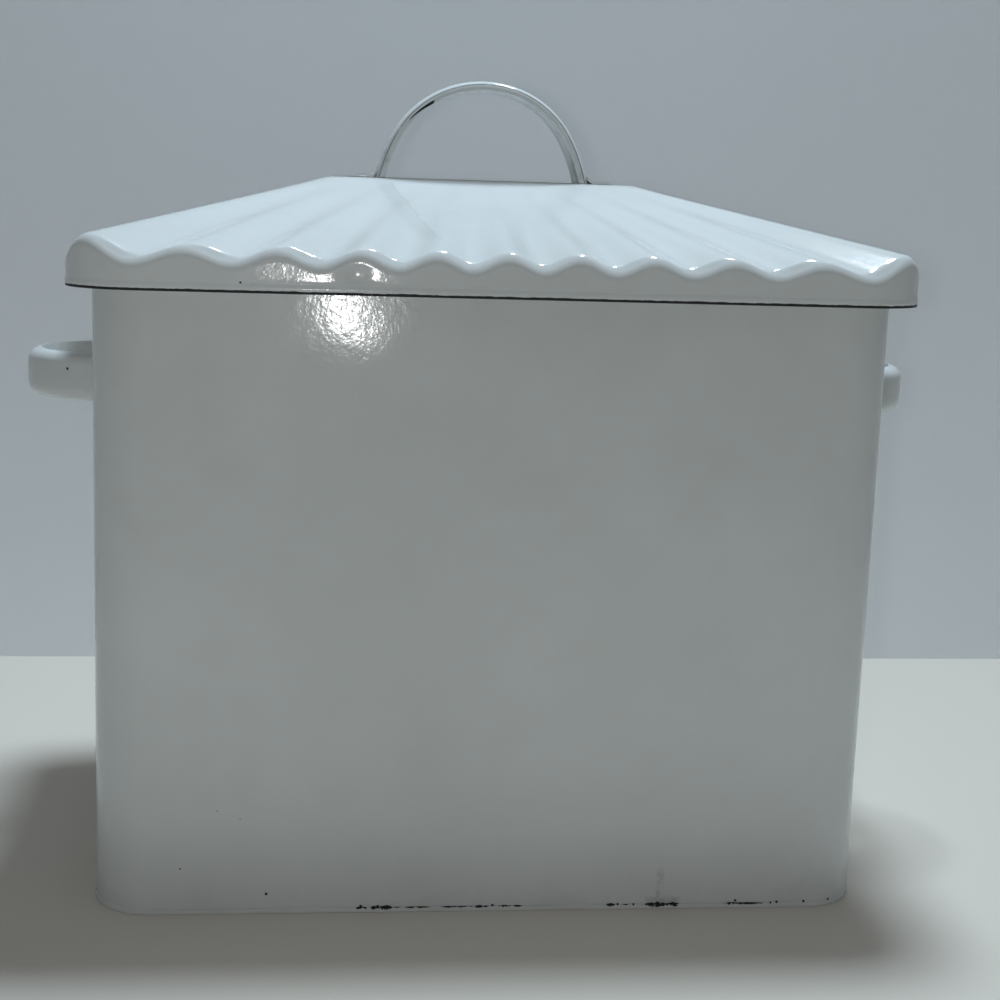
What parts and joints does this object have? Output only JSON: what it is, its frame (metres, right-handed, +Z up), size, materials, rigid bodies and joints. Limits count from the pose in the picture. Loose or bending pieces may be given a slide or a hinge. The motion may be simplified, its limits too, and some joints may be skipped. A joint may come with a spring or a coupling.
{
  "type": "bread bin",
  "caption": "Free-standing enamelled steel bread bin with rounded upright corners, strap handles on its ends and a fluted hipped lid that lifts off by a strap arch.",
  "frame": {"origin": "middle of the footprint, on the surface the bin stands on", "axes": "+Z up, X along the bin from end handle to end handle, -Y towards the front"},
  "size_m": [0.406, 0.237, 0.35],
  "materials": {
    "bin_enamel": "gloss white vitreous enamel on steel",
    "base_enamel": "gloss white vitreous enamel, chipped to the dark ground coat along the seam",
    "lid_enamel": "gloss white vitreous enamel with a black lower edge",
    "handle_enamel": "gloss white vitreous enamel on pressed strap"
  },
  "bodies": {
    "bin": {"body_wall": "bin_enamel", "base_pan": "base_enamel", "side_handle_left": "handle_enamel", "side_handle_right": "handle_enamel"},
    "lid": {"lid_shell": "lid_enamel", "lid_handle": "handle_enamel"}
  },
  "joints": [
    {"name": "lid_lift", "type": "slide", "parent": "bin", "child": "lid", "axis": [0, 0, 1], "range_m": [0, 0.25]}
  ]
}
